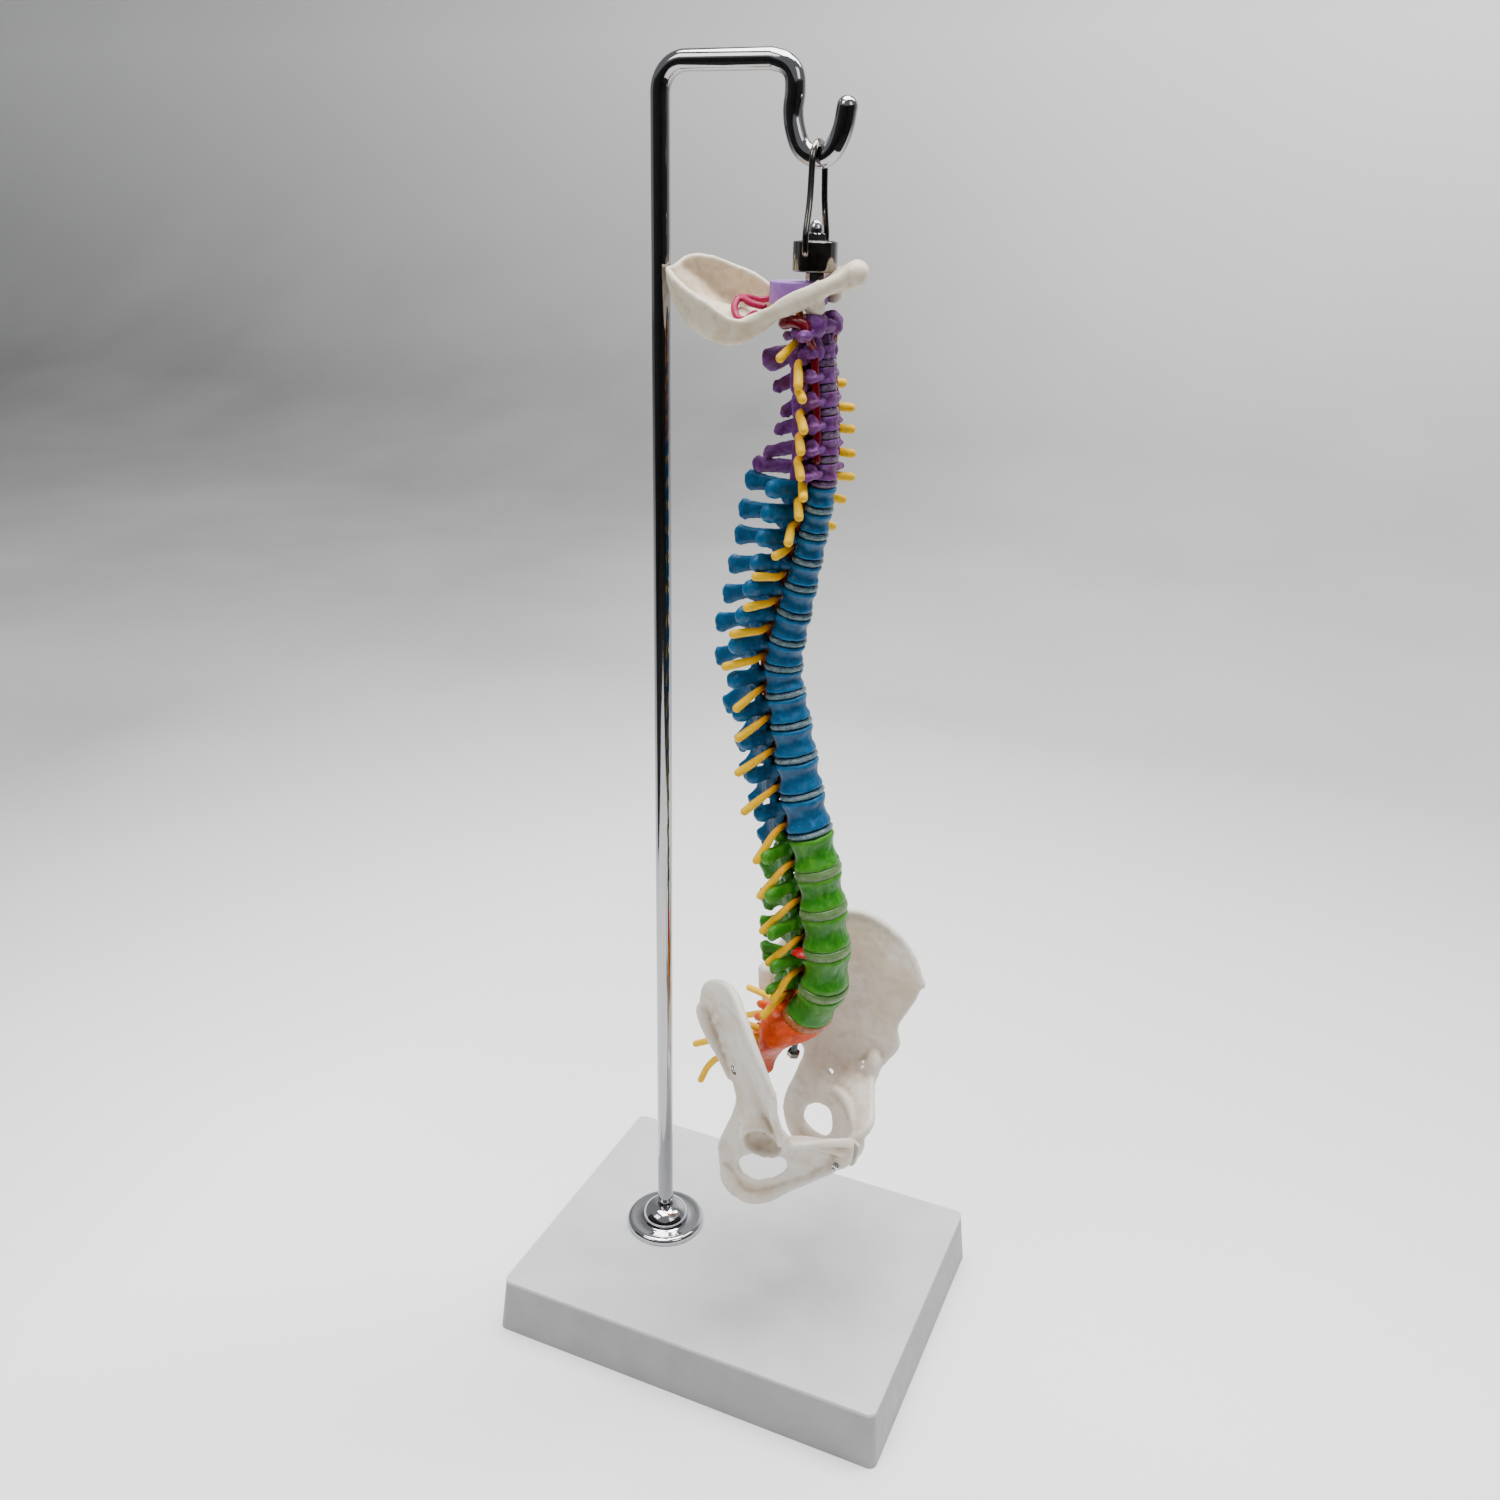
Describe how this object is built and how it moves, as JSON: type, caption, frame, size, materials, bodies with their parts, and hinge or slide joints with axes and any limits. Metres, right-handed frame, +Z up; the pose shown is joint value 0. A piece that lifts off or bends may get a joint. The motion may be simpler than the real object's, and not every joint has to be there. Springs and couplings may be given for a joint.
{
  "type": "spine anatomy model",
  "caption": "Half-size human spine teaching model with skull base, colour-coded vertebrae, nerves and pelvis, hung by a swivel from a chrome hook rod on a grey base.",
  "frame": {"origin": "middle of the base's underside", "axes": "+Z up; +X along the base's long edge, from the rod towards the spine, which looks along +X; +Y to the spine's left"},
  "size_m": [0.2054, 0.1544, 0.5978],
  "materials": {
    "base_plastic": "light grey moulded plastic, satin",
    "chrome_steel": "polished chrome plating",
    "dark_nickel": "dark nickel plating, polished",
    "bone_plastic": "cream hand-painted resin",
    "hip_plastic": "grey ivory moulded plastic with a brown wash",
    "cervical_purple": "mottled purple hand-painted gloss",
    "block_purple": "plain lilac gloss",
    "thoracic_blue": "blue hand-painted gloss with dark shading",
    "lumbar_green": "green hand-painted gloss with brush streaks",
    "sacral_orange": "orange hand-painted gloss",
    "disc_clear": "cloudy grey-green flexible plastic",
    "nerve_yellow": "yellow gloss, orange towards the roots",
    "artery_red": "dark red gloss",
    "sinus_magenta": "magenta gloss",
    "hernia_crimson": "crimson gloss"
  },
  "bodies": {
    "stand": {"base": "base_plastic", "stand_rod": "chrome_steel", "rod_flange": "chrome_steel", "rod_washer": "chrome_steel", "rod_nut": "chrome_steel", "hanger_bail": "dark_nickel"},
    "swivel_cup": {"hanger_cup": "dark_nickel", "hanger_washer": "dark_nickel"},
    "hanging_spine": {"brainstem_block": "block_purple", "core_end_nut": "dark_nickel", "disc_herniation": "hernia_crimson", "flexible_core_and_discs": "disc_clear", "hanger_dome_nut": "dark_nickel", "hanger_stud": "dark_nickel", "hip_left": "hip_plastic", "hip_right": "hip_plastic", "occiput": "bone_plastic", "pubic_symphysis": "disc_clear", "sacral_nerve_s1_left": "nerve_yellow", "sacral_nerve_s1_right": "nerve_yellow", "sacral_nerve_s2_left": "nerve_yellow", "sacral_nerve_s2_right": "nerve_yellow", "sacral_nerve_s3_left": "nerve_yellow", "sacral_nerve_s3_right": "nerve_yellow", "sacral_screw_left": "dark_nickel", "sacral_screw_right": "dark_nickel", "sacrum_and_coccyx": "sacral_orange", "sinus_band": "sinus_magenta", "spinal_cord_and_nerves": "nerve_yellow", "symphysis_screw": "dark_nickel", "vertebra_c1": "cervical_purple", "vertebra_c2": "cervical_purple", "vertebra_c3": "cervical_purple", "vertebra_c4": "cervical_purple", "vertebra_c5": "cervical_purple", "vertebra_c6": "cervical_purple", "vertebra_c7": "cervical_purple", "vertebra_l1": "lumbar_green", "vertebra_l2": "lumbar_green", "vertebra_l3": "lumbar_green", "vertebra_l4": "lumbar_green", "vertebra_l5": "lumbar_green", "vertebra_t1": "thoracic_blue", "vertebra_t10": "thoracic_blue", "vertebra_t11": "thoracic_blue", "vertebra_t12": "thoracic_blue", "vertebra_t2": "thoracic_blue", "vertebra_t3": "thoracic_blue", "vertebra_t4": "thoracic_blue", "vertebra_t5": "thoracic_blue", "vertebra_t6": "thoracic_blue", "vertebra_t7": "thoracic_blue", "vertebra_t8": "thoracic_blue", "vertebra_t9": "thoracic_blue", "vertebral_artery_left": "artery_red", "vertebral_artery_right": "artery_red"}
  },
  "joints": [
    {"name": "bail_pivot", "type": "hinge", "parent": "stand", "child": "swivel_cup", "pos_m": [0.0218, 0, 0.526], "axis": [0, 1, 0], "range_deg": [-25, 1]},
    {"name": "spine_swivel", "type": "hinge", "parent": "swivel_cup", "child": "hanging_spine", "pos_m": [0.0218, 0, 0.5205], "axis": [0, 0, 1], "range_deg": [-75, 100]}
  ]
}
